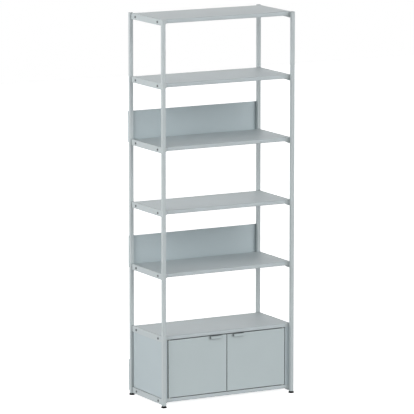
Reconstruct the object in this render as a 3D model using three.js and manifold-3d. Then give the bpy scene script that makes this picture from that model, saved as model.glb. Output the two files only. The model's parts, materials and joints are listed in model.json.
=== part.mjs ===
// A tall open bookcase of powder-coated metal with a two-door cabinet in its lowest bay.
// Four square tube posts hold seven pairs of cast crossbars. A folded tray shelf is screwed
// between the two crossbars of each level, three folded boards brace the back, and two inset
// doors swing on vertical pivot pins. The bookcase stands on four levelling feet.
// Millimetres, +Z up, the front towards -Y and the left side at -X. The origin is on the floor
// in the middle of the bookcase.

import * as THREE from 'three';
import { mergeVertices } from 'three/addons/utils/BufferGeometryUtils.js';
import Module from 'manifold-3d';

// The frame as a whole
const frameWidth = 826; // over the posts' outer faces
const frameDepth = 402; // over the posts' front and rear faces
const frameHeight = 2146; // of the posts' tubes and the top shelf above the floor
const firstShelfTop = 46; // height of the lowest shelf's top above the floor
const levelCount = 7;
const cabinetFloorLevel = 0;
const cabinetCeilingLevel = 1;
const seatGap = 0.3; // clearance between a piece and what it rests on or in
const overrun = 2; // how far a cut runs past the face that it goes through

// Posts, of square tube, and their top caps
const postSide = 20;
const postWall = 1.5;
const postCornerRadius = 2;
const capThickness = 2;
const capPlugLength = 12;

// Crossbars, castings set on the posts' centre lines, with a wing at each end
const barThickness = 6;
const barHeight = 33;
const tongueHeight = 25; // the part of the bar's end that enters the post's slot
const wingReach = 22; // from the post's inner face to the wing's tip
const wingDepth = 8; // of the tip, from front to rear
const gussetLength = 24; // of the curve behind the tip, back to the bar
const gussetStep = 2.5; // from the wing's faces in to the gusset below it
const sweepShare = 0.2; // of the reach, where the gusset's lower edge starts to rise
const pocketCount = 2;
const pocketDepth = 2.5;
const pocketBorder = 4;
const bossHalf = 9; // the solid part on each side of a screw hole

// Shelf screw holes, counterbored in the crossbars
const shelfScrewInset = 51; // from the posts
const counterboreRadius = 5.2;
const counterboreDepth = 4;
const shelfScrewRadius = 2.5;

// Sheet metal
const sheet = 1.5;
const bendRadius = 1.2; // on the inside of a fold

// Shelves, trays that open downwards
const lipShare = 0.65; // of the crossbar's height, that the lip covers
const shelfHem = 16; // the lip's inward fold along the front and rear
const shelfPostGap = 5; // from the lip to the posts
const ribWidth = 40; // the folded rib under the shelf
const ribDepth = 14;
const ribFlange = 12;
const ribEndGap = 30;

// Brace boards, trays that open backwards, behind the rear posts
const boardLevels = [0, 2, 4];
const boardNames = ['lower_brace_board', 'middle_brace_board', 'upper_brace_board'];
const boardHeight = 176;
const boardDrop = 21; // of the board's lower edge below its shelf's top
const boardDepth = 6.5;
const boardHem = 10;
const boardScrewInset = 35; // from the board's upper and lower edges
const boardScrewRadius = 2;

// Cabinet sides: a panel between the posts and a stile beside the door, and its back
const panelInset = 8; // from the posts' outer faces
const panelEndGap = 15; // to the posts
const panelReveal = 2.5; // under the panel's outer wall
const rebateDepth = 24; // from the stile's face back to the door stop
const stopWidth = 18;
const backSideGap = 2; // to the posts' inner faces
const backDepth = 12;
const backHem = 8;

// Doors, trays that open backwards
const doorThickness = 18;
const doorHem = 14;
const doorBendRadius = 0.8; // on the inside of a fold, sharper than elsewhere
const doorJambGap = 3.7;
const doorGap = 3; // above and below the doors
const meetingGap = 3; // between the doors

// Door pulls, bent tabs that come through a slot under the door's top fold
const pullWidth = 67;
const pullInset = 39; // from the bookcase's centre plane
const pullThickness = 2;
const pullReach = 14; // in front of the door
const pullDrop = 15;
const pullTongue = 12; // behind the door's face
const pullBend = 3;
const pullCornerRadius = 4;

// Door pivots: headed pins in the doors, flanged bushes in the shelves
const pivotInset = 9.3; // from the door's outer edge
const pinRadius = 3;
const pinHeadRadius = 5;
const pinHeadHeight = 3;
const pinReach = 4; // past the shelf's sheet
const bushRadius = 4.5;
const bushFlangeRadius = 6;
const bushReach = 2.5;

// Magnetic catch and strike plates
const strikeWidth = 24;
const strikeHeight = 12;
const strikeInset = 10; // from the bookcase's centre plane
const strikeEdge = 1; // below the door's top
const catchDepth = 16;
const catchBorder = 3;
const catchStemWidth = 40;

// Levelling feet
const footHeight = 11; // height of the posts' lower ends above the floor
const padBaseRadius = 15;
const padTopRadius = 10;
const padRim = 2;
const padHeight = 8.2;
const studRadius = 4;
const studTop = 30;
const insertPlugLength = 25;

// Facets
const bendSteps = 1;
const cornerSteps = 2;
const coveSteps = 2;
const gussetSteps = 2;
const plugSteps = 1;
const roundSides = 10;
const smallSides = 8;

// Finishes
const paint = { color: '#b9c3c5', roughness: 0.55 };
const doorPaint = { color: '#b7c1c3', roughness: 0.55 };
const blackPlastic = { color: '#141516', roughness: 0.6 };
const zincSteel = { color: '#9da2a5', metalness: 1, roughness: 0.35 };
const paleNylon = { color: '#d8d9d6', roughness: 0.45 };

// Places that follow from the sizes above
const levelPitch = (frameHeight - firstShelfTop) / (levelCount - 1);
const levelTop = (level) => firstShelfTop + level * levelPitch;
const postX = (frameWidth - postSide) / 2;
const postY = (frameDepth - postSide) / 2;
const barInner = postX - barThickness / 2;
const barShoulder = postY - postSide / 2 - seatGap;
const lipHeight = barHeight * lipShare;
const shelfScrewY = postY - postSide / 2 - shelfScrewInset;
const shelfHalf = barInner - seatGap;
const shelfDepth = frameDepth - 2 * (postSide + shelfPostGap);
const frontPlane = -shelfDepth / 2;
const coveDepth = barShoulder + frontPlane;
const wingEdge = postX - postSide / 2 - wingReach;
const cabinetFloor = levelTop(cabinetFloorLevel);
const cabinetCeiling = levelTop(cabinetCeilingLevel) - lipHeight;
const panelBottom = cabinetFloor + seatGap;
const panelTop = levelTop(cabinetCeilingLevel) - barHeight - seatGap;
const panelFace = frameWidth / 2 - panelInset;
const doorOuter = wingEdge - doorJambGap;
const doorWidth = doorOuter - meetingGap / 2;
const doorBottom = cabinetFloor + doorGap;
const doorTop = cabinetCeiling - doorGap;
const pivotX = doorOuter - pivotInset;
const pivotY = frontPlane + shelfHem / 2;
const pullTop = doorTop - sheet - seatGap;
const boardFace = frameDepth / 2 + seatGap;
const insertCollar = footHeight - padHeight - seatGap;
const levels = [...Array(levelCount).keys()];
const sides = [{ name: 'left', sign: -1 }, { name: 'right', sign: 1 }];
const rows = [{ name: 'front', sign: -1 }, { name: 'rear', sign: 1 }];

const barMiddle = (level) => levelTop(level) - barHeight / 2;
const boardMiddle = (level) => levelTop(level) - boardDrop + boardHeight / 2;

const wasm = await Module();
wasm.setup();

// A closed geometry as a solid that can be joined and cut
function solid(geometry) {
  const bare = geometry.clone();
  bare.deleteAttribute('normal');
  bare.deleteAttribute('uv');
  const merged = mergeVertices(bare);
  const corners = merged.index.array;
  const kept = [];
  for (let i = 0; i < corners.length; i += 3) {
    const [a, b, c] = corners.slice(i, i + 3);
    if (a !== b && b !== c && c !== a) kept.push(a, b, c);
  }
  const vertProperties = new Float32Array(merged.attributes.position.array);
  return new wasm.Manifold(new wasm.Mesh({ numProp: 3, vertProperties, triVerts: new Uint32Array(kept) }));
}

function geometryOf(body) {
  const { vertProperties, triVerts } = body.getMesh();
  const geometry = new THREE.BufferGeometry();
  geometry.setAttribute('position', new THREE.BufferAttribute(vertProperties, 3));
  geometry.setIndex(new THREE.BufferAttribute(triVerts, 1));
  geometry.computeVertexNormals();
  return geometry;
}

const join = (...pieces) => geometryOf(pieces.map(solid).reduce((whole, piece) => whole.add(piece)));

const cut = (piece, ...tools) =>
  geometryOf(tools.map(solid).reduce((left, tool) => left.subtract(tool), solid(piece)));

// A block between two values on each axis, given in either order
function block([x0, x1], [y0, y1], [z0, z1]) {
  const size = [Math.abs(x1 - x0), Math.abs(y1 - y0), Math.abs(z1 - z0)];
  return new THREE.BoxGeometry(...size).translate((x0 + x1) / 2, (y0 + y1) / 2, (z0 + z1) / 2);
}

// A round bar along an axis between two values on it
function rod(axis, radius, [from, to], place, facets) {
  const bar = new THREE.CylinderGeometry(radius, radius, Math.abs(to - from), facets);
  if (axis === 'x') bar.rotateZ(Math.PI / 2);
  if (axis === 'z') bar.rotateX(Math.PI / 2);
  const centre = new THREE.Vector3().copy(place);
  centre[axis] = (from + to) / 2;
  return bar.translate(centre.x, centre.y, centre.z);
}

// A profile of radius and height pairs turned about the Z axis
function revolve(profile, facets) {
  const points = profile.map(([radius, height]) => new THREE.Vector2(radius, height));
  return geometryOf(solid(new THREE.LatheGeometry(points, facets).rotateX(Math.PI / 2)));
}

function roundedSquare(side, radius) {
  const reach = side / 2 - radius;
  const shape = new THREE.Shape();
  shape.absarc(reach, reach, radius, 0, Math.PI / 2);
  shape.absarc(-reach, reach, radius, Math.PI / 2, Math.PI);
  shape.absarc(-reach, -reach, radius, Math.PI, (Math.PI * 3) / 2);
  shape.absarc(reach, -reach, radius, (Math.PI * 3) / 2, Math.PI * 2);
  return shape;
}

const upright = (shape, from, to, curveSegments = cornerSteps) =>
  new THREE.ExtrudeGeometry(shape, { depth: to - from, bevelEnabled: false, curveSegments })
    .translate(0, 0, from);

// An outline in Y and Z, drawn out along X
function alongX(shape, from, to) {
  const axes = new THREE.Matrix4().makeBasis(
    new THREE.Vector3(0, 1, 0), new THREE.Vector3(0, 0, 1), new THREE.Vector3(1, 0, 0));
  const options = { depth: to - from, bevelEnabled: false, curveSegments: cornerSteps };
  return new THREE.ExtrudeGeometry(shape, options).applyMatrix4(axes).translate(from, 0, 0);
}

// An outline in X and Z, drawn out along Y
const alongY = (shape, from, to) =>
  new THREE.ExtrudeGeometry(shape, { depth: to - from, bevelEnabled: false, curveSegments: gussetSteps })
    .rotateX(Math.PI / 2).translate(0, to, 0);

// The outline of a folded strip of sheet, from the corner points of the middle of its thickness.
// Each corner is bent round an arc, and the sheet keeps its thickness through the bend.
function foldedOutline(corners, thickness = sheet, inside = bendRadius) {
  const middleRadius = inside + thickness / 2;
  const points = corners.map(([x, y]) => new THREE.Vector2(x, y));
  const spine = [];
  points.forEach((corner, i) => {
    const into = corner.clone().sub(points[Math.max(i - 1, 0)]).normalize();
    const out = points[Math.min(i + 1, points.length - 1)].clone().sub(corner).normalize();
    const run = i === 0 ? out : into;
    const normal = new THREE.Vector2(-run.y, run.x);
    if (i === 0 || i === points.length - 1) {
      spine.push({ point: corner, normal });
      return;
    }
    const turn = Math.atan2(into.cross(out), into.dot(out));
    const side = Math.sign(turn);
    const start = corner.clone().addScaledVector(into, -middleRadius * Math.tan(Math.abs(turn) / 2));
    const centre = start.clone().addScaledVector(normal, side * middleRadius);
    for (let step = 0; step <= bendSteps; step += 1) {
      const turned = normal.clone().rotateAround(new THREE.Vector2(), (turn * step) / bendSteps);
      spine.push({ point: centre.clone().addScaledVector(turned, -side * middleRadius), normal: turned });
    }
  });
  const offset = ({ point, normal }, amount) => point.clone().addScaledVector(normal, amount);
  const near = spine.map((place) => offset(place, thickness / 2));
  const far = spine.map((place) => offset(place, -thickness / 2)).reverse();
  return new THREE.Shape([...near, ...far]);
}

// A folded tray: its face lies at z = 0 and its walls stand up from it along +Z. The walls at
// the ends of Y carry an inward hem of hemY, those at the ends of X one of hemX, or none at zero.
// The two folded strips that make it meet with an open notch at each corner, and the walls at
// the ends of X stop short of the corners by cornerNotch.
function foldedTray({
  width, height, depth, hemX, hemY, cornerNotch = sheet / 2, inside = bendRadius,
}) {
  const strip = (span, hem) => {
    const edge = (span - sheet) / 2;
    const rim = depth - sheet / 2;
    const wallEnd = hem ? rim : depth;
    const wall = [[-edge, wallEnd], [-edge, sheet / 2], [edge, sheet / 2], [edge, wallEnd]];
    return hem ? [[hem - span / 2, rim], ...wall, [span / 2 - hem, rim]] : wall;
  };
  const reachX = (width - sheet) / 2;
  const reachY = height / 2 - cornerNotch;
  const fold = (span, hem, reach) =>
    alongX(foldedOutline(strip(span, hem), sheet, inside), -reach, reach);
  return join(fold(height, hemY, reachX), fold(width, hemX, reachY).rotateZ(Math.PI / 2));
}

const faceUp = (tray) => tray.rotateX(Math.PI);
const faceFront = (tray) => tray.rotateX(Math.PI / 2).rotateZ(Math.PI);
const faceRear = (tray) => tray.rotateX(Math.PI / 2);

const model = new THREE.Group();

function add(name, geometry, finish) {
  const mesh = new THREE.Mesh(geometry, new THREE.MeshStandardMaterial(finish));
  mesh.name = name;
  model.add(mesh);
  return mesh;
}

// Posts: slots for the crossbars' tongues, and pilot holes for the brace boards in the rear pair

function postGeometry(row) {
  const outline = roundedSquare(postSide, postCornerRadius);
  outline.holes.push(roundedSquare(postSide - 2 * postWall, postCornerRadius - postWall));
  const slotHalf = barThickness / 2 + seatGap;
  const inward = (-row.sign * postSide) / 2;
  const slots = levels.map((level) => {
    const rise = tongueHeight / 2 + seatGap;
    const throughWall = [inward - overrun, inward + overrun];
    return block([-slotHalf, slotHalf], throughWall, [barMiddle(level) - rise, barMiddle(level) + rise]);
  });
  const throughRear = [postSide / 2 - postWall - overrun, postSide / 2 + overrun];
  const pilots = boardLevels.flatMap(boardScrewPlaces).filter(({ x }) => x > 0).map(({ z }) =>
    rod('y', boardScrewRadius + seatGap, throughRear, { x: 0, y: 0, z }, smallSides));
  const cuts = row.sign < 0 ? slots : [...slots, ...pilots];
  return cut(upright(outline, footHeight, frameHeight), ...cuts);
}

function boardScrewPlaces(level) {
  const rise = boardHeight / 2 - boardScrewInset;
  return sides.flatMap(({ sign }) =>
    [-rise, rise].map((dz) => ({ x: sign * postX, y: 0, z: boardMiddle(level) + dz })));
}

function capGeometry() {
  const plugSide = postSide - 2 * (postWall + seatGap);
  const plug = roundedSquare(plugSide, postCornerRadius - postWall);
  const head = upright(roundedSquare(postSide, postCornerRadius), seatGap, capThickness);
  return join(head, upright(plug, seatGap - capPlugLength, capThickness / 2, plugSteps));
}

function addPosts() {
  for (const row of rows) {
    for (const side of sides) {
      const place = [side.sign * postX, row.sign * postY];
      add(`${side.name}_${row.name}_post`, postGeometry(row), paint).position.set(...place, 0);
      add(`${side.name}_${row.name}_post_cap`, capGeometry(), paint).position.set(...place, frameHeight);
    }
  }
}

// Feet: a threaded insert in each post, and a pad moulded on a stud that screws in and out of it

function insertGeometry() {
  const plugSide = postSide - 2 * (postWall + seatGap);
  const plugOutline = roundedSquare(plugSide, postCornerRadius - postWall);
  const collarBottom = footHeight - insertCollar;
  const plugTop = footHeight + insertPlugLength;
  const collar = upright(roundedSquare(postSide, postCornerRadius), collarBottom, footHeight - seatGap);
  const plug = upright(plugOutline, footHeight - insertCollar / 2, plugTop, plugSteps);
  const bore = rod('z', studRadius + seatGap, [collarBottom - overrun, plugTop + overrun],
    { x: 0, y: 0, z: 0 }, roundSides);
  return cut(join(collar, plug), bore);
}

const footGeometry = () => revolve([
  [0, 0], [padBaseRadius, 0], [padBaseRadius, padRim], [padTopRadius, padHeight],
  [studRadius, padHeight], [studRadius, studTop], [0, studTop],
], roundSides);

function addFeet() {
  for (const row of rows) {
    for (const side of sides) {
      const place = [side.sign * postX, row.sign * postY, 0];
      add(`${side.name}_${row.name}_foot_insert`, insertGeometry(), blackPlastic).position.set(...place);
      add(`${side.name}_${row.name}_levelling_foot`, footGeometry(), blackPlastic).position.set(...place);
    }
  }
}

// Crossbars. The left one is drawn here, with x running inward from the posts' centre line and
// z = 0 at the shelf's top. Its two ends are alike, so the right one is the same piece turned
// half round.

const screwRows = [-shelfScrewY, shelfScrewY];

// The wing beside the front post: it leaves the bar in a cove behind the post and carries on the
// plane of the shelf's lip
function wingOutline() {
  const corner = postSide / 2;
  const half = barThickness / 2;
  const shape = new THREE.Shape();
  shape.moveTo(0, -barShoulder);
  shape.lineTo(half, -barShoulder);
  shape.absellipse(corner, -barShoulder, corner - half, coveDepth, Math.PI, Math.PI / 2, true);
  shape.lineTo(corner + wingReach, frontPlane);
  shape.lineTo(corner + wingReach, frontPlane + wingDepth);
  shape.lineTo(0, frontPlane + wingDepth);
  return shape;
}

// The gusset under and behind the wing, stepped in from the wing's faces so that the cabinet's
// stile can cover it, and curved back into the bar
function gussetOutline() {
  const tip = postSide / 2 + wingReach - gussetStep;
  const front = frontPlane + gussetStep;
  const rear = front + wingDepth;
  const shape = new THREE.Shape();
  shape.moveTo(0, front);
  shape.lineTo(tip, front);
  shape.lineTo(tip, rear);
  shape.quadraticCurveTo(barThickness / 2, rear, barThickness / 2, rear + gussetLength);
  shape.lineTo(0, rear + gussetLength);
  return shape;
}

// What is cut away below the gusset: its lower edge sweeps up from the bar to the shelf's lip
function sweepOutline() {
  const corner = postSide / 2;
  const tip = corner + wingReach;
  const shape = new THREE.Shape();
  shape.moveTo(corner, -barHeight);
  shape.quadraticCurveTo(corner + wingReach * sweepShare, -barHeight, tip, -lipHeight);
  shape.lineTo(tip + overrun, -lipHeight);
  shape.lineTo(tip + overrun, -barHeight - overrun);
  shape.lineTo(corner, -barHeight - overrun);
  return shape;
}

function pocketTools() {
  const start = bossHalf - shelfScrewY;
  const span = (pocketBorder - 2 * start) / pocketCount;
  const face = barThickness / 2;
  return [...Array(pocketCount).keys()].map((i) => block(
    [face + overrun, face - pocketDepth],
    [start + i * span, start + (i + 1) * span - pocketBorder],
    [pocketBorder - barHeight, -pocketBorder],
  ));
}

function crossbarGeometry() {
  const half = barThickness / 2;
  const tip = barShoulder + seatGap + postWall;
  const tongueRise = (barHeight - tongueHeight) / 2;
  const body = join(
    block([-half, half], [-barShoulder, barShoulder], [-barHeight, 0]),
    block([-half, half], [-tip, tip], [tongueRise - barHeight, -tongueRise]),
  );
  const gussetTop = -(sheet + bendRadius + seatGap);
  const wing = upright(wingOutline(), -lipHeight, 0, coveSteps);
  const gusset = cut(upright(gussetOutline(), -barHeight, gussetTop, gussetSteps),
    alongY(sweepOutline(), -barShoulder - overrun, 0));
  const frontEnd = join(wing, gusset);
  const rearEnd = geometryOf(solid(frontEnd).mirror([0, 1, 0]));
  const holes = screwRows.map((y) => ({ x: 0, y, z: -barHeight / 2 })).flatMap((place) => [
    rod('x', counterboreRadius, [-half - overrun, counterboreDepth - half], place, roundSides),
    rod('x', shelfScrewRadius + seatGap, [-half, half + overrun], place, smallSides),
  ]);
  return cut(join(body, frontEnd, rearEnd), ...pocketTools(), ...holes);
}

function addCrossbars() {
  const bar = crossbarGeometry();
  for (const { name, sign } of sides) {
    for (const level of levels) {
      const mesh = add(`${name}_crossbar_${level + 1}`, bar, paint);
      mesh.position.set(sign * postX, 0, levelTop(level));
      mesh.rotation.z = sign > 0 ? Math.PI : 0;
    }
  }
}

// Shelves: a tray with hemmed lips at the front and rear, plain end walls for the crossbars'
// screws, and a rib underneath. The cabinet's two shelves also have the pivot bushes' holes.

function ribGeometry() {
  const flangeEdge = ribWidth / 2 + ribFlange;
  const [seat, crown] = [sheet + sheet / 2, ribDepth];
  const outline = foldedOutline([
    [-flangeEdge, seat], [-ribWidth / 2, seat], [-ribWidth / 2, crown], [ribWidth / 2, crown],
    [ribWidth / 2, seat], [flangeEdge, seat],
  ]);
  const reach = shelfHalf - ribEndGap;
  return alongX(outline, -reach, reach);
}

// Notches for the crossbars' wings, through the shelf, and for the gussets, below its top
function cornerNotches() {
  const flankX = [shelfHalf + overrun, wingEdge - seatGap];
  const wingRear = frontPlane + wingDepth + seatGap;
  const hemRear = frontPlane + shelfHem + overrun;
  const under = -(sheet + bendRadius);
  return sides.flatMap((side) => rows.flatMap((row) => {
    const across = flankX.map((x) => side.sign * x);
    const reach = (y) => [row.sign * (shelfDepth / 2 + overrun), -row.sign * y];
    return [
      block(across, reach(wingRear), [-lipHeight - overrun, overrun]),
      block(across, reach(hemRear), [-lipHeight - overrun, under]),
    ];
  }));
}

function shelfGeometry(level) {
  const tray = foldedTray({
    width: 2 * shelfHalf, height: shelfDepth, depth: lipHeight, hemX: 0, hemY: shelfHem,
    cornerNotch: gussetStep + wingDepth + gussetLength + seatGap,
  });
  const throughWall = [shelfHalf - sheet - overrun, shelfHalf + overrun];
  const holes = sides.flatMap(({ sign }) => screwRows.map((y) =>
    rod('x', shelfScrewRadius + seatGap, throughWall.map((x) => sign * x),
      { x: 0, y, z: barHeight / 2 }, smallSides)));
  const whole = faceUp(cut(join(tray, ribGeometry()), ...holes));
  const shelf = cut(whole, ...cornerNotches()).translate(0, 0, levelTop(level));
  const pivotHoles = {
    [cabinetFloorLevel]: [cabinetFloor - sheet - overrun, cabinetFloor + overrun],
    [cabinetCeilingLevel]: [cabinetCeiling - overrun, cabinetCeiling + sheet + overrun],
  }[level];
  if (!pivotHoles) return shelf;
  return cut(shelf, ...sides.map(({ sign }) =>
    rod('z', bushRadius + seatGap, pivotHoles, { x: sign * pivotX, y: pivotY, z: 0 }, roundSides)));
}

function addShelves() {
  for (const level of levels) add(`shelf_${level + 1}`, shelfGeometry(level), paint);
}

// Brace boards behind the rear posts

function addBraceBoards() {
  boardLevels.forEach((level, i) => {
    const tray = foldedTray({
      width: frameWidth, height: boardHeight, depth: boardDepth, hemX: 0, hemY: boardHem,
    });
    const board = faceFront(tray).translate(0, boardFace, boardMiddle(level));
    const throughFace = [boardFace - overrun, boardFace + sheet + overrun];
    const holes = boardScrewPlaces(level).map((place) =>
      rod('y', boardScrewRadius + seatGap, throughFace, place, smallSides));
    add(boardNames[i], cut(board, ...holes), paint);
  });
}

// Cabinet sides. A panel's flanges stand on the crossbar below and lift its outer wall clear.

function sidePanelGeometry(sign) {
  const wall = panelFace - sheet / 2;
  const end = postY - postSide / 2 - panelEndGap - sheet / 2;
  const flangeEdge = postX - postSide / 2 + sheet + seatGap;
  const corners = [[flangeEdge, end], [wall, end], [wall, -end], [flangeEdge, -end]];
  const outline = foldedOutline(corners.map(([x, y]) => [sign * x, y]));
  const wallEnd = end - sheet / 2 - bendRadius;
  const reveal = block([sign * (wall - sheet), sign * (wall + sheet)], [-wallEnd, wallEnd],
    [panelBottom - overrun, cabinetFloor + panelReveal]);
  return cut(upright(outline, panelBottom, panelTop), reveal);
}

// The stile fills the wings' plane between two shelves, and turns back to the door's stop
function stileGeometry(sign) {
  const jamb = wingEdge + sheet / 2;
  const face = frontPlane + sheet / 2;
  const stop = face + rebateDepth;
  const corners = [[shelfHalf, face], [jamb, face], [jamb, stop], [jamb - stopWidth, stop]];
  const outline = foldedOutline(corners.map(([x, y]) => [sign * x, y]));
  return upright(outline, panelBottom, cabinetCeiling - seatGap);
}

function addCabinetBody() {
  for (const { name, sign } of sides) {
    add(`${name}_side_panel`, sidePanelGeometry(sign), paint);
    add(`${name}_stile`, stileGeometry(sign), paint);
  }
  const back = foldedTray({
    width: 2 * (postX - postSide / 2 - backSideGap), height: panelTop - panelBottom,
    depth: backDepth, hemX: backHem, hemY: backHem,
  });
  const middle = (panelTop + panelBottom) / 2;
  add('cabinet_back', faceRear(back).translate(0, shelfDepth / 2, middle), paint);
}

// Doors, with a hole for each pivot pin and the slot that the pull comes through

function doorGeometry(sign) {
  const tray = foldedTray({
    width: doorWidth, height: doorTop - doorBottom, depth: doorThickness, hemX: doorHem,
    hemY: doorHem, inside: doorBendRadius,
  });
  const middle = sign * (doorOuter - doorWidth / 2);
  const placed = faceFront(tray).translate(middle, frontPlane, (doorTop + doorBottom) / 2);
  const pivot = { x: sign * pivotX, y: pivotY, z: 0 };
  const holes = [doorBottom + sheet / 2, doorTop - sheet / 2].map((z) =>
    rod('z', pinRadius + seatGap, [z - overrun, z + overrun], pivot, roundSides));
  const slot = block(
    [sign * (pullInset - seatGap), sign * (pullInset + pullWidth + seatGap)],
    [frontPlane - overrun, frontPlane + sheet + doorBendRadius + seatGap],
    [pullTop + seatGap, pullTop - pullThickness - seatGap],
  );
  return cut(placed, ...holes, slot);
}

// What is cut from one lower corner of the pull to round it: a square less the round that stays
function pullCorner(x, inward, nose) {
  const z = pullTop - pullDrop;
  const kept = { x: x + inward * pullCornerRadius, y: 0, z: z + pullCornerRadius };
  const square = block([x - inward * overrun, kept.x],
    [nose - pullThickness, nose + pullThickness], [z - overrun, kept.z]);
  return cut(square, rod('y', pullCornerRadius, [nose - overrun, nose + overrun], kept, smallSides));
}

// The pull: a bent strip in side view, drawn out to the tab's width, with its lower corners round
function pullGeometry(sign) {
  const top = pullTop - pullThickness / 2;
  const nose = frontPlane - pullReach + pullThickness / 2;
  const corners = [[frontPlane + pullTongue, top], [nose, top], [nose, pullTop - pullDrop]];
  const ends = [sign * pullInset, sign * (pullInset + pullWidth)];
  const outline = foldedOutline(corners, pullThickness, pullBend);
  const strip = alongX(outline, Math.min(...ends), Math.max(...ends));
  return cut(strip, pullCorner(ends[0], sign, nose), pullCorner(ends[1], -sign, nose));
}

// A pivot pin along Z for the door's top: its head is below z = 0, inside the door
function pinProfile(reach) {
  return [
    [0, -pinHeadHeight], [pinHeadRadius, -pinHeadHeight], [pinHeadRadius, 0], [pinRadius, 0],
    [pinRadius, reach], [0, reach],
  ];
}

function bushProfile() {
  const bore = pinRadius + seatGap;
  const flange = doorGap - 2 * seatGap;
  const barrel = flange + seatGap + sheet + bushReach;
  return [[bore, 0], [bushFlangeRadius, 0], [bushFlangeRadius, flange], [bushRadius, flange],
    [bushRadius, barrel], [bore, barrel], [bore, 0]];
}

// A geometry made for the top of a door, and the same turned over for the bottom, each set in
// from that end of the door
const forEnds = (make, inset) => ({
  upper: make().translate(0, 0, doorTop - inset),
  lower: make().rotateX(Math.PI).translate(0, 0, doorBottom + inset),
});

function addPivots({ name, sign }) {
  const pinStart = sheet + seatGap;
  const reach = pinStart + doorGap + sheet + pinReach;
  const pins = forEnds(() => revolve(pinProfile(reach), roundSides), pinStart);
  const bushes = forEnds(() => revolve(bushProfile(), roundSides), -seatGap);
  for (const end of ['upper', 'lower']) {
    add(`${name}_${end}_pivot_pin`, pins[end], zincSteel).position.set(sign * pivotX, pivotY, 0);
    add(`${name}_${end}_pivot_bush`, bushes[end], paleNylon).position.set(sign * pivotX, pivotY, 0);
  }
}

function addDoors() {
  const strikeY = frontPlane + doorThickness + seatGap;
  const strikeTop = doorTop - strikeEdge;
  for (const side of sides) {
    add(`${side.name}_door`, doorGeometry(side.sign), doorPaint);
    add(`${side.name}_pull`, pullGeometry(side.sign), doorPaint);
    addPivots(side);
    const across = [side.sign * strikeInset, side.sign * (strikeInset + strikeWidth)];
    const strike = block(across, [strikeY, strikeY + sheet], [strikeTop - strikeHeight, strikeTop]);
    add(`${side.name}_strike`, strike, zincSteel);
  }
}

// The catch hangs from the shelf over the cabinet: a T-shaped block of magnets in a housing,
// whose face draws both doors' strike plates
function addCatch() {
  const face = frontPlane + doorThickness + 2 * seatGap + sheet;
  const top = doorTop - strikeEdge;
  const bottom = top - strikeHeight;
  const reach = strikeInset + strikeWidth + catchBorder;
  const body = block([-reach, reach], [face, face + catchDepth], [bottom - catchBorder, top + catchBorder]);
  const stem = block([-catchStemWidth / 2, catchStemWidth / 2],
    [face + sheet, face + catchDepth - sheet],
    [top, levelTop(cabinetCeilingLevel) - sheet - seatGap]);
  add('magnetic_catch', join(body, stem), blackPlastic);
}

addPosts();
addFeet();
addCrossbars();
addShelves();
addBraceBoards();
addCabinetBody();
addDoors();
addCatch();

// The origin is under the middle of the whole, which the feet and the rear boards bound
const frontReach = postY + padBaseRadius;
const rearReach = boardFace + boardDepth;
model.position.y = (frontReach - rearReach) / 2;

export default model;
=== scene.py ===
# %% [markdown]
# # A powder-coated steel bookcase with a cabinet
# The metal parts come packed as a frame of solids that are true to size. This script dresses
# them: it rounds their edges as a coat of paint does, adds the small hardware, gives each
# finish a procedural material, and lights the whole in a white studio. Lengths that come from
# a catalogue are written in millimetres and turned to metres by MM.

import json
import math

import bmesh
import bpy
from mathutils import Matrix, Vector


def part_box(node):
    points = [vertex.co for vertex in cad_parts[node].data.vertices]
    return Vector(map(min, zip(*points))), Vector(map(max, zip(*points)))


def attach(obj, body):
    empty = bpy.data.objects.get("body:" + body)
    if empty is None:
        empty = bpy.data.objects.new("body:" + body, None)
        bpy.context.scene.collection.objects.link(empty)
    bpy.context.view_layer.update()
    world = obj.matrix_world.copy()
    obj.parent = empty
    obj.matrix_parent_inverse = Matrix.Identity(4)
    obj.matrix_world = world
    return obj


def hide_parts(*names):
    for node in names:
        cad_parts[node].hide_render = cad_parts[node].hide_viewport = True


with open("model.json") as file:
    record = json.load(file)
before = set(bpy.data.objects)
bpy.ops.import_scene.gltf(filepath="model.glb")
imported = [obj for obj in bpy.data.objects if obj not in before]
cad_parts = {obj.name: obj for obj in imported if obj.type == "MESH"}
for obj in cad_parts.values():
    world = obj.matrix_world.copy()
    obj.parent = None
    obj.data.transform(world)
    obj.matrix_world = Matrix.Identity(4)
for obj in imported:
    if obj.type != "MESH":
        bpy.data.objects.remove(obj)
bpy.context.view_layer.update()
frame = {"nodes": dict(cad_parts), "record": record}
MM = 0.001
bodies = frame["record"]["behaviour"]["bodies"]
body_of_node = {node: body for body, nodes in bodies.items() for node in nodes}
slot_of_node = {part["node"]: part["material_slot"] for part in frame["record"]["subparts"]}
print("nodes:", len(body_of_node))


# %% [markdown]
# Colours are written as sRGB hex values, as paint charts give them. Cycles works in linear
# light, so one function turns them. Most finishes are built the same way: a noise in the
# piece's own coordinates goes through a ramp of two close colours to the base colour, and
# through a bump to the surface, so each step has a small function of its own.

# %% Colour and node helpers
def linear(hex_colour):
    channels = [int(hex_colour[i : i + 2], 16) / 255 for i in (1, 3, 5)]
    return (*(c / 12.92 if c <= 0.04045 else ((c + 0.055) / 1.055) ** 2.4 for c in channels), 1)


def set_inputs(node, values):
    for name, value in values.items():
        node.inputs[name].default_value = value


def link_inputs(material, node, outputs):
    for name, output in outputs.items():
        material.node_tree.links.new(output, node.inputs[name])


def add_node(material, kind, settings=None, inputs=None, links=None):
    """Adds a node, sets its properties and sockets, and links other nodes' outputs into it."""
    node = material.node_tree.nodes.new(kind)
    for name, value in (settings or {}).items():
        setattr(node, name, value)
    set_inputs(node, inputs or {})
    link_inputs(material, node, links or {})
    return node


def new_material(name):
    material = bpy.data.materials.new(name)
    material.use_nodes = True
    shader = material.node_tree.nodes["Principled BSDF"]
    place = add_node(material, "ShaderNodeTexCoord").outputs["Object"]
    return material, shader, place


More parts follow.
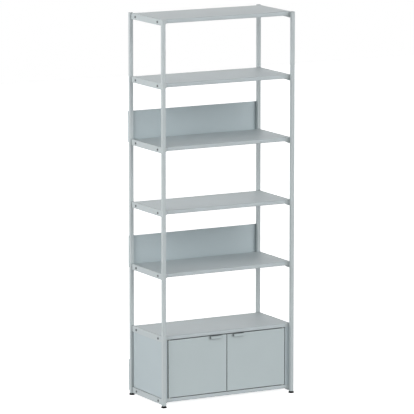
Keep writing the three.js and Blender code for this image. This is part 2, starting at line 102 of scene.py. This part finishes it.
def add_noise(material, place, size, detail):
    noise = add_node(material, "ShaderNodeTexNoise", inputs={"Scale": 1 / size, "Detail": detail},
                     links={"Vector": place})
    return noise.outputs["Fac"]


def add_ramp(material, pattern, light, dark):
    ramp = add_node(material, "ShaderNodeValToRGB", links={"Fac": pattern})
    ramp.color_ramp.elements[0].color = linear(dark)
    ramp.color_ramp.elements[1].color = linear(light)
    return ramp.outputs["Color"]


def add_range(material, value, limits):
    scaled = add_node(material, "ShaderNodeMapRange", inputs=limits, links={"Value": value})
    return scaled.outputs["Result"]


def add_bump(material, pattern, strength, height):
    bump = add_node(material, "ShaderNodeBump", inputs={"Strength": strength, "Distance": height},
                    links={"Height": pattern})
    return bump.outputs["Normal"]


# %% [markdown]
# Powder coat is a polyester powder that is sprayed on dry and melted in an oven. It flows into
# a thick, even skin with a fine orange peel of about 2 mm and a broad, very slight change of
# tone where the coat is thicker. The gloss is low, so its roughness is near a half, and its IOR
# is a plastic's. The peel is a bump from one noise, and the change of tone mixes two close
# colours by another. On top of that comes painted shade: an ambient occlusion node darkens the
# colour in narrow gaps and tight corners, where shade falls, which draws the seams. On the doors
# it also paints the shadow that the pulls cast on the face behind them, over a longer reach.

# %% Powder coat
PEEL, PEEL_HEIGHT, PEEL_STRENGTH = 2.0 * MM, 0.012 * MM, 0.6
CLOUD = 140 * MM
COAT_ROUGHNESS = 0.52
# Painted shade: how far the ambient occlusion looks for nearby metal, the dark tone that is painted
# there, and the shares of open space round a point at which that painted shade is darkest and at which
# it stops
PAINTED_SEAM_SHADE = {"reach": 5 * MM, "tone": "#525758", "darkest_at": 0.35, "unshaded_at": 0.85}
# The doors' painted shade reaches farther and paints the pulls' shadow on the face behind them
PAINTED_PULL_SHADOW = {"reach": 18 * MM, "tone": "#666c6d", "darkest_at": 0.6, "unshaded_at": 0.96}


def powder_coat(name, light, dark, painted_shade=PAINTED_SEAM_SHADE):
    """Paint that looks soft and even: its peel breaks up the shine, and painted shade darkens its
    seams.
    """
    material, shader, place = new_material(name)
    full_tone = add_ramp(material, add_noise(material, place, CLOUD, 2.0), light, dark)
    # Painted shade: the ambient occlusion mixes the colour towards a dark tone where other metal is
    # near
    space = add_node(material, "ShaderNodeAmbientOcclusion", {"samples": 8},
                     {"Distance": painted_shade["reach"]})
    unshaded_share = add_range(material, space.outputs["AO"],
                      {"From Min": painted_shade["darkest_at"], "From Max": painted_shade["unshaded_at"]})
    tone = add_node(material, "ShaderNodeMixRGB", inputs={"Color1": linear(painted_shade["tone"])},
                    links={"Fac": unshaded_share, "Color2": full_tone})
    peel = add_noise(material, place, PEEL, 1.0)
    set_inputs(shader, {"Roughness": COAT_ROUGHNESS})
    link_inputs(material, shader, {
        "Base Color": tone.outputs["Color"],
        "Normal": add_bump(material, peel, PEEL_STRENGTH, PEEL_HEIGHT),
    })
    return material


# One pale, cool grey with a satin look. Each kind of piece has its own copy, a few levels apart,
# that paints in the light and shade those pieces get: the darker panel copy is painted shade.
materials = {
    "frame_paint": powder_coat("powder_coat_frame", "#bac2c4", "#b6bec0"),
    "shelf_paint": powder_coat("powder_coat_shelves", "#b8c1c4", "#b4bdc0"),
    "panel_paint": powder_coat("powder_coat_panels", "#b3bfc3", "#afbbbf"),
    # The door copy also paints the shadow of the pulls and darker seams, as painted shade
    "door_paint": powder_coat("powder_coat_doors", "#b6c1c3", "#b2bdbf", PAINTED_PULL_SHADOW),
}
print("powder coats:", ", ".join(materials))

# %% [markdown]
# The hinge pins, strike plates and foot studs are zinc plated: a bright, slightly blue metal
# whose grain is drawn out by rolling. The screws are steel with a grey phosphate coat, darker
# and duller.

# %% Plated and phosphated steel
GRAIN = 0.8 * MM
GRAIN_STRETCH = 12


def drawn_steel(name, light, dark, rough_low, rough_high):
    """Metal with fine upright streaks, some of them duller, so that its shine is broken up."""
    material, shader, place = new_material(name)
    stretch = add_node(material, "ShaderNodeMapping", inputs={"Scale": (1, 1, 1 / GRAIN_STRETCH)},
                       links={"Vector": place})
    grain = add_noise(material, stretch.outputs["Vector"], GRAIN, 3.0)
    set_inputs(shader, {"Metallic": 1.0})
    link_inputs(material, shader, {
        "Base Color": add_ramp(material, grain, light, dark),
        "Roughness": add_range(material, grain, {"To Min": rough_low, "To Max": rough_high}),
    })
    return material


# Zinc looks bright and a little blue, and phosphate a flat, dark grey, so that the screws read as
# dark dots
materials["plated_steel"] = drawn_steel("zinc_plate", "#c9ccce", "#aeb3b7", 0.24, 0.4)
dark_steel = drawn_steel("phosphated_steel", "#74797b", "#5c6062", 0.45, 0.6)
print("steels:", materials["plated_steel"].name, dark_steel.name)

# %% [markdown]
# The feet, inserts and the catch's housing are moulded in black plastic with a spark-eroded
# mould texture, and the hinge bushes in natural nylon, which is milky and a little translucent.
# Both take their grain from a fine noise bump.

# %% Moulded plastics
MOULD_GRAIN, MOULD_HEIGHT, MOULD_STRENGTH = 0.7 * MM, 0.02 * MM, 0.5


def moulded_plastic(name, light, dark, surface):
    """Plastic whose fine grain gives it an even, dull surface."""
    material, shader, place = new_material(name)
    grain = add_noise(material, place, MOULD_GRAIN, 2.0)
    set_inputs(shader, surface)
    link_inputs(material, shader, {
        "Base Color": add_ramp(material, grain, light, dark),
        "Normal": add_bump(material, grain, MOULD_STRENGTH, MOULD_HEIGHT),
    })
    return material


# The black is deep and hardly shines, and the nylon is a soft white that lets a little light in
materials["black_plastic"] = moulded_plastic("moulded_black_plastic", "#0c0c0d", "#070708",
                                             {"Roughness": 0.7, "Specular IOR Level": 0.2})
materials["pale_nylon"] = moulded_plastic("natural_nylon", "#dcdcd8", "#d2d2ce",
                                          {"Roughness": 0.42, "Subsurface Weight": 0.08})
print("plastics:", materials["black_plastic"].name, materials["pale_nylon"].name)

# %% [markdown]
# A coat of powder leaves no sharp edge: it draws back from each corner and dries in a radius
# of a few tenths of a millimetre, which catches a thin line of light. The solids come with
# sharp edges and loose triangles, so each painted piece is a copy: its triangles are merged,
# flat ones are joined, and the sharp edges are bevelled. Smooth shading up to 50 degrees then
# rounds the faceted bends.

# %% Finish the pieces that stay as they are
EDGE_RADIUS = 0.2 * MM
WELD = 0.005 * MM
FLAT = math.radians(0.5)
SHARP = math.radians(50)


def show(name, shape, body, slot, material=None, replaced=()):
    """Makes a bmesh an object with its finish, and lets it ride on a body."""
    mesh = bpy.data.meshes.new(name)
    for face in shape.faces:
        face.smooth = True
    shape.to_mesh(mesh)
    shape.free()
    mesh.set_sharp_from_angle(angle=SHARP)
    mesh.materials.append(material or materials[slot])
    piece = bpy.data.objects.new(name, mesh)
    bpy.context.scene.collection.objects.link(piece)
    even = piece.modifiers.new("even_shading", "WEIGHTED_NORMAL")
    even.mode = "FACE_AREA"
    even.weight = 100
    even.keep_sharp = True
    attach(piece, body)
    if replaced:
        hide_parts(*replaced)
    return piece


def round_edges(shape):
    sharp = [e for e in shape.edges if len(e.link_faces) == 2 and e.calc_face_angle(0) > SHARP]
    bmesh.ops.bevel(shape, geom=sharp, offset=EDGE_RADIUS, offset_type="OFFSET", segments=2,
                    profile=0.5, affect="EDGES", clamp_overlap=True, material=-1)


def coat(node):
    shape = bmesh.new()
    shape.from_mesh(frame["nodes"][node].data)
    bmesh.ops.remove_doubles(shape, verts=shape.verts, dist=WELD)
    bmesh.ops.dissolve_limit(shape, angle_limit=FLAT, verts=shape.verts, edges=shape.edges,
                             use_dissolve_boundaries=False)
    round_edges(shape)
    return show(f"{node}_finished", shape, body_of_node[node], slot_of_node[node], replaced=[node])


remade = ("pull", "levelling_foot", "pivot_pin", "pivot_bush")
coated = [coat(node) for node in frame["nodes"] if not node.endswith(remade)]
print("finished pieces:", len(coated), "faces:", sum(len(o.data.polygons) for o in coated))


# %% [markdown]
# Screws, pins, bushes and feet are turned or headed parts, so they are all rings round one
# axis. A circle is extruded from ring to ring, scaled to the next radius and moved to the next
# height, and the last ring is filled. This keeps every section round and the mesh closed.

# %% Turned pieces
PIN_SIDES, SCREW_SIDES, PAD_SIDES = 32, 24, 48


def turned(rings, sides):
    """A closed solid round Z from (radius, height) rings. Its two ends are filled."""
    shape = bmesh.new()
    radius, height = rings[0]
    bmesh.ops.create_circle(shape, cap_ends=True, segments=sides, radius=radius,
                            matrix=Matrix.Translation((0, 0, height)))
    rim = list(shape.edges)
    for next_radius, next_height in rings[1:]:
        grown = bmesh.ops.extrude_edge_only(shape, edges=rim)["geom"]
        verts = [g for g in grown if isinstance(g, bmesh.types.BMVert)]
        rim = [g for g in grown if isinstance(g, bmesh.types.BMEdge) and g.is_boundary]
        factor = next_radius / radius
        bmesh.ops.scale(shape, vec=(factor, factor, 1), verts=verts)
        bmesh.ops.translate(shape, vec=(0, 0, next_height - height), verts=verts)
        radius, height = next_radius, next_height
    bmesh.ops.edgeloop_fill(shape, edges=rim)
    bmesh.ops.recalc_face_normals(shape, faces=shape.faces)
    return shape


def dome(rim_radius, top_radius, low, high, degrees):
    """Rings that rise from a rim and close in towards the top."""
    return [(top_radius + (rim_radius - top_radius) * math.cos(a), low + (high - low) * math.sin(a))
            for a in map(math.radians, degrees)]


def joined(shapes):
    """Several bmeshes as one."""
    whole = bmesh.new()
    for shape in shapes:
        carrier = bpy.data.meshes.new("carrier")
        shape.to_mesh(carrier)
        shape.free()
        whole.from_mesh(carrier)
        bpy.data.meshes.remove(carrier)
    return whole


def moved(shape, matrix):
    bmesh.ops.transform(shape, matrix=matrix, verts=shape.verts)
    return shape


# %% [markdown]
# The screws that hold the shelves stand out of the crossbars: a domed head on a shoulder that
# fills the counterbore. A key goes in a six-sided socket, so once the head is turned its flat
# top is taken out, a hexagon on the socket's floor is drawn up to it and bridged to its rim.

# %% Shelf screws
HEAD_RADIUS, HEAD_HEIGHT, HEAD_RIM = 6.3 * MM, 4.2 * MM, 1.2 * MM
HEAD_TOP = 3.4 * MM
SOCKET_RADIUS, SOCKET_DEPTH = 2.3 * MM, 2.2 * MM
SHOULDER_RADIUS, SHOULDER_DEPTH = 4.9 * MM, 3.7 * MM
SHANK_RADIUS, SHANK_REACH = 2.5 * MM, 12.7 * MM
CHAMFER = 0.35 * MM
SCREW_SPACING = 260 * MM
SEAT_GAP = 0.1 * MM


def socket_screw():
    """A screw along Z whose head's underside is at zero."""
    screw = turned([
        (SHANK_RADIUS - CHAMFER, -SHANK_REACH), (SHANK_RADIUS, CHAMFER - SHANK_REACH),
        (SHANK_RADIUS, -SHOULDER_DEPTH), (SHOULDER_RADIUS, -SHOULDER_DEPTH), (SHOULDER_RADIUS, 0),
        (HEAD_RADIUS, 0), *dome(HEAD_RADIUS, HEAD_TOP, HEAD_RIM, HEAD_HEIGHT, (0, 22, 45, 68, 90)),
    ], SCREW_SIDES)
    top = max(screw.faces, key=lambda f: f.calc_center_median().z)
    rim = list(top.edges)
    bmesh.ops.delete(screw, geom=[top], context="FACES_ONLY")
    floor = Matrix.Translation((0, 0, HEAD_HEIGHT - SOCKET_DEPTH))
    corners = bmesh.ops.create_circle(screw, cap_ends=True, segments=6, radius=SOCKET_RADIUS,
                                      matrix=floor)["verts"]
    hexagon = list({edge for corner in corners for edge in corner.link_edges})
    grown = bmesh.ops.extrude_edge_only(screw, edges=hexagon)["geom"]
    lip = [g for g in grown if isinstance(g, bmesh.types.BMVert)]
    lip_edges = [g for g in grown if isinstance(g, bmesh.types.BMEdge) and g.is_boundary]
    bmesh.ops.translate(screw, vec=(0, 0, SOCKET_DEPTH), verts=lip)
    bmesh.ops.bridge_loops(screw, edges=rim + lip_edges)
    bmesh.ops.recalc_face_normals(screw, faces=screw.faces)
    return screw


for side, outward in (("left", -1), ("right", 1)):
    turn = Matrix.Rotation(outward * math.pi / 2, 4, "Y")
    screws = []
    for node in (n for n in frame["nodes"] if n.startswith(f"{side}_crossbar")):
        low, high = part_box(node)
        outer = low.x if outward < 0 else high.x
        seat = outer + outward * SEAT_GAP
        for offset in (-SCREW_SPACING / 2, SCREW_SPACING / 2):
            spot = (seat, (low.y + high.y) / 2 + offset, (low.z + high.z) / 2)
            screws.append(moved(socket_screw(), Matrix.Translation(spot) @ turn))
    print(f"{side} shelf screws:", len(screws))
    show(f"{side}_shelf_screws", joined(screws), "frame", "plated_steel", dark_steel)

# %% [markdown]
# The brace boards are held by domed screws that go through their face into the rear posts,
# inside the fold, where they are hidden from the front. The dome is a few rings that close in.

# %% Brace screws
DOME_RADIUS, DOME_HEIGHT = 4.0 * MM, 2.4 * MM
BOARD_SHEET = 1.5 * MM
BOARD_SCREW_INSET = 35 * MM
BOARD_SHANK_RADIUS, BOARD_SHANK_REACH = 2.0 * MM, 7.0 * MM


def domed_screw():
    """A screw along Z whose head's underside is at zero."""
    return turned([
        (BOARD_SHANK_RADIUS, -BOARD_SHANK_REACH), (BOARD_SHANK_RADIUS, 0),
        *dome(DOME_RADIUS, 0, 0, DOME_HEIGHT, (0, 20, 40, 60, 78)),
    ], SCREW_SIDES)


backward = Matrix.Rotation(-math.pi / 2, 4, "X")
board_screws = []
for node in (n for n in frame["nodes"] if n.endswith("brace_board")):
    low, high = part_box(node)
    for post in ("left_rear_post", "right_rear_post"):
        post_low, post_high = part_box(post)
        for height in (low.z + BOARD_SCREW_INSET, high.z - BOARD_SCREW_INSET):
            spot = ((post_low.x + post_high.x) / 2, low.y + BOARD_SHEET + SEAT_GAP, height)
            board_screws.append(moved(domed_screw(), Matrix.Translation(spot) @ backward))
print("brace screws:", len(board_screws))
show("brace_screws", joined(board_screws), "frame", "plated_steel", dark_steel)

# %% [markdown]
# A levelling foot is a black pad moulded round the head of a plated stud, which screws up into
# the post. The pad is a low drum with a soft shoulder and rim. The two are separate pieces here,
# because each has its own finish.

# %% Levelling feet
PAD_HEIGHT, PAD_RIM = 8.2 * MM, 6.2 * MM
PAD_BASE, PAD_TOP = 15.5 * MM, 13.5 * MM
PAD_EDGE = 0.5 * MM
STUD_RADIUS = 4.0 * MM
THREAD_PITCH, THREAD_DEPTH = 1.25 * MM, 0.35 * MM


def foot_pad():
    return turned([
        (PAD_BASE - PAD_EDGE, 0), (PAD_BASE, PAD_EDGE), (PAD_BASE, PAD_RIM - PAD_EDGE),
        (PAD_BASE - PAD_EDGE, PAD_RIM), (PAD_TOP, PAD_HEIGHT - PAD_EDGE),
        (PAD_TOP - PAD_EDGE, PAD_HEIGHT), (STUD_RADIUS, PAD_HEIGHT),
    ], PAD_SIDES)


def foot_stud(top):
    """Rings that go in and out, one pair for each turn of the thread."""
    root = STUD_RADIUS - THREAD_DEPTH
    thread = []
    for i in range(int((top - PAD_HEIGHT) / THREAD_PITCH)):
        start = PAD_HEIGHT + i * THREAD_PITCH
        thread += [(root, start), (STUD_RADIUS, start + THREAD_PITCH / 2)]
    return turned([*thread, (root, top)], SCREW_SIDES)


feet = [n for n in frame["nodes"] if n.endswith("levelling_foot")]
for node in feet:
    low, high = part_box(node)
    spot = Matrix.Translation(((low.x + high.x) / 2, (low.y + high.y) / 2, low.z))
    body = body_of_node[node]
    show(f"{node}_pad", moved(foot_pad(), spot), body, "black_plastic", replaced=[node])
    show(f"{node}_stud", moved(foot_stud(high.z - low.z), spot), body, "plated_steel")
print("feet:", len(feet))

# %% [markdown]
# Each door swings on two headed pins in flanged nylon bushes. The same ring method turns them
# with enough sides to look round, and the upper and lower ones differ only in which way up
# they stand.

# %% Pivot pins and bushes
PIN_RADIUS, PIN_HEAD_RADIUS, PIN_HEAD_HEIGHT = 3.0 * MM, 5.0 * MM, 3.0 * MM
BUSH_RADIUS, BUSH_BORE = 4.5 * MM, 3.3 * MM
BUSH_FLANGE = 2.4 * MM


def upright_at(low, high, upper):
    """Stands a shape that is drawn upwards from zero in a node's box, or hangs it upside down."""
    middle = ((low.x + high.x) / 2, (low.y + high.y) / 2)
    if upper:
        return Matrix.Translation((*middle, low.z))
    return Matrix.Translation((*middle, high.z)) @ Matrix.Rotation(math.pi, 4, "X")


def pivot_pin(length):
    return turned([
        (PIN_HEAD_RADIUS - CHAMFER, 0), (PIN_HEAD_RADIUS, CHAMFER), (PIN_HEAD_RADIUS, PIN_HEAD_HEIGHT),
        (PIN_RADIUS, PIN_HEAD_HEIGHT), (PIN_RADIUS, length - CHAMFER), (PIN_RADIUS - CHAMFER, length),
    ], PIN_SIDES)


def pivot_bush(flange_radius, length):
    """Rings that run up the outside and in to the bore. The two end faces are taken out and the
    ends are joined, so that the bore is open."""
    shape = turned([
        (BUSH_BORE, 0), (flange_radius - CHAMFER, 0), (flange_radius, CHAMFER),
        (flange_radius, BUSH_FLANGE), (BUSH_RADIUS, BUSH_FLANGE), (BUSH_RADIUS, length),
        (BUSH_BORE, length),
    ], PIN_SIDES)
    caps = [f for f in shape.faces if len(f.verts) > 4]
    rims = [edge for cap in caps for edge in cap.edges]
    bmesh.ops.delete(shape, geom=caps, context="FACES_ONLY")
    bmesh.ops.bridge_loops(shape, edges=rims)
    bmesh.ops.recalc_face_normals(shape, faces=shape.faces)
    return shape


for node in (n for n in frame["nodes"] if n.endswith(("pivot_pin", "pivot_bush"))):
    low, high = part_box(node)
    length = high.z - low.z
    made = pivot_pin(length) if node.endswith("pin") else pivot_bush((high.x - low.x) / 2, length)
    place = upright_at(low, high, "upper" in node)
    show(f"{node}_turned", moved(made, place), body_of_node[node], slot_of_node[node], replaced=[node])
    print(node, "length in mm:", round(length / MM, 1))

# %% [markdown]
# The pull is a tab of 2 mm sheet that comes out under the door's top fold, bends down and ends
# in two rounded corners. It is drawn as a bent sheet with no thickness, the corners are cut
# round, the fold is bevelled into a radius, and the sheet is then given its thickness.

# %% Door pulls
PULL_SHEET = 2.0 * MM
PULL_BEND = 4.0 * MM
PULL_CORNER = 4.0 * MM
PULL_STEPS = 6


def soften(sheet, geom, radius, affect):
    bmesh.ops.bevel(sheet, geom=geom, offset=radius, offset_type="OFFSET", segments=PULL_STEPS,
                    profile=0.5, affect=affect, material=-1)


def pull_tab(low, high):
    """A bent tab that fills the box from low to high."""
    half = PULL_SHEET / 2
    sheet = bmesh.new()
    path = [sheet.verts.new(spot) for spot in (
        (low.x, high.y, high.z - half), (low.x, low.y + half, high.z - half),
        (low.x, low.y + half, low.z))]
    strip = [sheet.edges.new(pair) for pair in zip(path, path[1:])]
    drawn = bmesh.ops.extrude_edge_only(sheet, edges=strip)["geom"]
    far_side = [g for g in drawn if isinstance(g, bmesh.types.BMVert)]
    bmesh.ops.translate(sheet, vec=(high.x - low.x, 0, 0), verts=far_side)
    soften(sheet, [v for v in sheet.verts if v.co.z < low.z + half], PULL_CORNER, "VERTICES")
    soften(sheet, [e for e in sheet.edges if len(e.link_faces) == 2], PULL_BEND, "EDGES")
    bmesh.ops.recalc_face_normals(sheet, faces=sheet.faces)
    bmesh.ops.solidify(sheet, geom=sheet.faces[:], thickness=PULL_SHEET)
    bmesh.ops.recalc_face_normals(sheet, faces=sheet.faces)
    past_front = min(v.co.y for v in sheet.verts) - low.y
    past_top = max(v.co.z for v in sheet.verts) - high.z
    bmesh.ops.translate(sheet, vec=(0, -past_front, -past_top), verts=sheet.verts)
    round_edges(sheet)
    return sheet


for node in (n for n in frame["nodes"] if n.endswith("pull")):
    low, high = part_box(node)
    show(f"{node}_bent", pull_tab(low, high), body_of_node[node], slot_of_node[node], replaced=[node])
    print(node, "width in mm:", round((high.x - low.x) / MM))

# %% [markdown]
# The case stands in a white studio. The floor is a plain pale plane that is lit like the rest,
# so it keeps the soft shadow under the case. It also glows a little, as a floor in a flood of
# light does, and more for camera and mirror rays, which lifts it to the white of the background.

# %% Floor
FLOOR_SIZE = 24.0
FLOOR_GLOW, FLOOR_WHITE = 0.02, 0.85


def seen_directly(material):
    """One for rays from the camera or off a mirror or glass, and zero for light that falls."""
    rays = add_node(material, "ShaderNodeLightPath").outputs
    shiny = add_node(material, "ShaderNodeMath", {"operation": "MAXIMUM"},
                     links={0: rays["Is Glossy Ray"], 1: rays["Is Transmission Ray"]})
    either = add_node(material, "ShaderNodeMath", {"operation": "MAXIMUM"},
                      links={0: rays["Is Camera Ray"], 1: shiny.outputs[0]})
    return either.outputs[0]


floor_shape = bmesh.new()
bmesh.ops.create_grid(floor_shape, x_segments=1, y_segments=1, size=FLOOR_SIZE / 2)
floor_mesh = bpy.data.meshes.new("floor")
floor_shape.to_mesh(floor_mesh)
floor_shape.free()
floor = bpy.data.objects.new("floor", floor_mesh)
bpy.context.scene.collection.objects.link(floor)

# A matt white paint, so that the floor shows no shine, only the shadow
floor_paint, floor_shader, _ = new_material("matt_studio_floor")
set_inputs(floor_shader, {
    "Base Color": linear("#e8e8e8"), "Roughness": 0.9, "Specular IOR Level": 0.0,
    "Emission Color": linear("#ffffff"),
})
glow = add_range(floor_paint, seen_directly(floor_paint), {"To Min": FLOOR_GLOW, "To Max": FLOOR_WHITE})
link_inputs(floor_paint, floor_shader, {"Emission Strength": glow})
floor_mesh.materials.append(floor_paint)
print("floor side in metres:", FLOOR_SIZE)

# %% [markdown]
# The world is white to the camera and in reflections, as the studio's walls are, and gives no
# other light. The case is lit by broad, soft lamps all round it, low enough to light the upright
# faces: the left side is the brightest, and the back ones brighten the shelves' tops. One large
# panel high on the left falls off towards the floor. Their strengths were fitted so that each
# face has the photograph's brightness.

# %% Lights
world = bpy.data.worlds.new("white_studio")
world.use_nodes = True
bpy.context.scene.world = world
walls = world.node_tree.nodes["Background"]
set_inputs(walls, {"Color": linear("#ffffff")})
link_inputs(world, walls, {"Strength": seen_directly(world)})

# Each lamp's name, the way it comes from, its strength and its spread in degrees
BANKS = (
    ("high_left_bank", (-0.74, -0.52, 0.42), 0.88, 36),
    ("high_front_bank", (-0.43, -0.75, 0.5), 0.28, 36),
    ("front_bank", (-0.64, -0.77, 0.1), 0.24, 36),
    ("right_bank", (0.6, -0.8, 0.1), 1.20, 50),
    ("high_right_bank", (0.5, -0.7, 0.5), 0.77, 36),
    ("rear_left_bank", (-0.94, 0.34, 0.1), 1.36, 36),
    ("rear_bank", (0, 1, 0.3), 0.44, 50),
    ("rear_right_bank", (0.7, 0.7, 0.3), 0.40, 50),
)
PANEL_PLACE = (-3.0, -0.3, 2.1)
PANEL_AIM = (0, 0, 1.1)
PANEL_SIDE = 2.0
PANEL_WATTS = 12


def add_lamp(name, kind, light_from, energy):
    lamp = bpy.data.lights.new(name, kind)
    lamp.energy = energy
    holder = bpy.data.objects.new(name, lamp)
    holder.rotation_euler = Vector(light_from).to_track_quat("Z", "Y").to_euler()
    bpy.context.scene.collection.objects.link(holder)
    return lamp, holder


for name, light_from, energy, spread in BANKS:
    lamp, _ = add_lamp(name, "SUN", light_from, energy)
    lamp.angle = math.radians(spread)
from_panel = Vector(PANEL_PLACE) - Vector(PANEL_AIM)
panel, panel_holder = add_lamp("left_panel", "AREA", from_panel, PANEL_WATTS)
panel.size = PANEL_SIDE
panel_holder.location = PANEL_PLACE
print("lamps:", len(BANKS) + 1)

# %% [markdown]
# The photograph is taken from the front left with a long lens, from a little above the top.
# The camera stands where the edges of the case line up with it, and is tilted down, with no
# shift, so that the other views of the case stay centred.

# %% Camera
CAMERA_PLACE = (-9.639, -17.671, 4.506)
CAMERA_YAW, CAMERA_PITCH = math.radians(28.538), math.radians(9.716)
LENS, SENSOR_WIDTH = 320.03, 36
FARTHEST = 200
camera = bpy.data.cameras.new("camera")
camera.lens = LENS
camera.sensor_width = SENSOR_WIDTH
camera.clip_end = FARTHEST
camera_object = bpy.data.objects.new("camera", camera)
camera_object.location = CAMERA_PLACE
camera_object.rotation_euler = (math.pi / 2 - CAMERA_PITCH, 0, -CAMERA_YAW)
bpy.context.scene.collection.objects.link(camera_object)
bpy.context.scene.camera = camera_object
bpy.context.scene.view_settings.view_transform = "Standard"
print("camera:", CAMERA_PLACE, "lens:", LENS)
